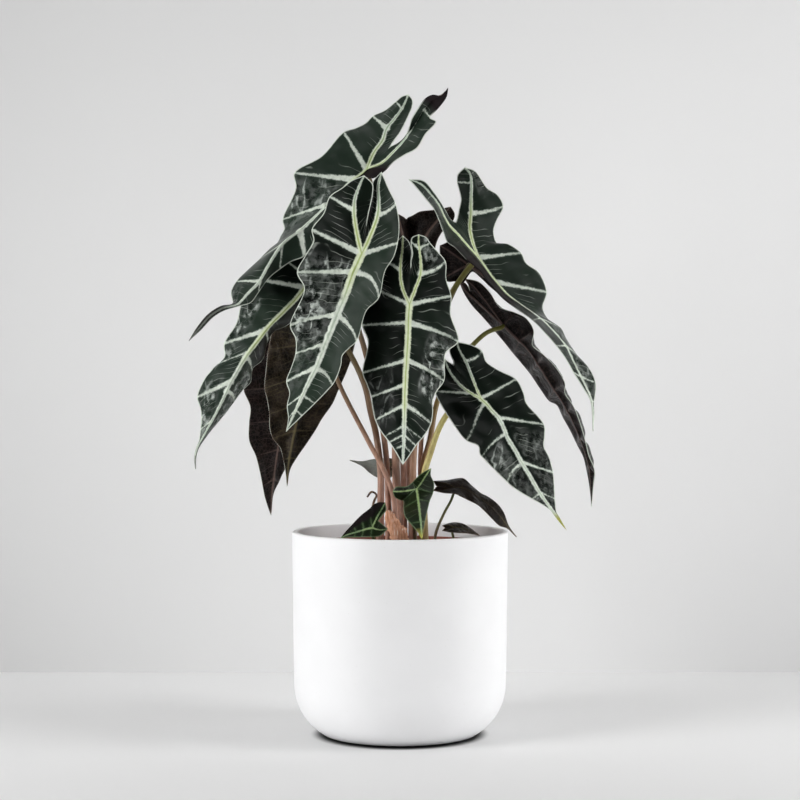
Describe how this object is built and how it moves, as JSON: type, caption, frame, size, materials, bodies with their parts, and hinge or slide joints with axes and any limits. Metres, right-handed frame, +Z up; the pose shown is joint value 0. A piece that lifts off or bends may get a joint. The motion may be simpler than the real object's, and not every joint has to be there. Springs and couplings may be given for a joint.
{
  "type": "potted alocasia polly",
  "caption": "Arrowhead-leaf house plant with dark leaves and broad pale veins on slim stalks, rooted in a plastic growing pot that stands inside a round white ceramic pot.",
  "frame": {"origin": "middle of the flat that the white pot stands on, on the pot's axis", "axes": "+Z up along the pot's axis; the front of the plant, as pictured, looks along -Y; +X to the viewer's right"},
  "size_m": [0.2596, 0.1824, 0.4188],
  "materials": {
    "pot": "matte",
    "growing_pot": "satin",
    "soil": "matte",
    "blade": "satin",
    "young_blade": "satin",
    "stalk": "satin",
    "dry": "matte"
  },
  "bodies": {
    "root": {"pot": "pot", "growing_pot": "growing_pot", "soil": "soil", "crest_blade": "blade", "crest_stalk": "stalk", "front_blade": "blade", "front_stalk": "stalk", "left_blade": "blade", "left_stalk": "stalk", "hanging_left_blade": "blade", "hanging_left_stalk": "stalk", "low_left_blade": "blade", "low_left_stalk": "stalk", "middle_blade": "blade", "middle_stalk": "stalk", "right_blade": "blade", "right_stalk": "stalk", "hanging_right_blade": "blade", "hanging_right_stalk": "stalk", "low_right_blade": "blade", "low_right_stalk": "stalk", "back_blade": "blade", "back_stalk": "stalk", "tucked_right_blade": "blade", "tucked_right_stalk": "stalk", "young_front_blade": "young_blade", "young_front_stalk": "stalk", "young_arching_blade": "young_blade", "young_arching_stalk": "stalk", "young_inside_blade": "young_blade", "young_inside_stalk": "stalk", "young_left_blade": "young_blade", "young_left_stalk": "stalk", "young_back_blade": "young_blade", "young_back_stalk": "stalk", "dry_sheath": "dry", "dry_curl": "dry"}
  },
  "joints": []
}
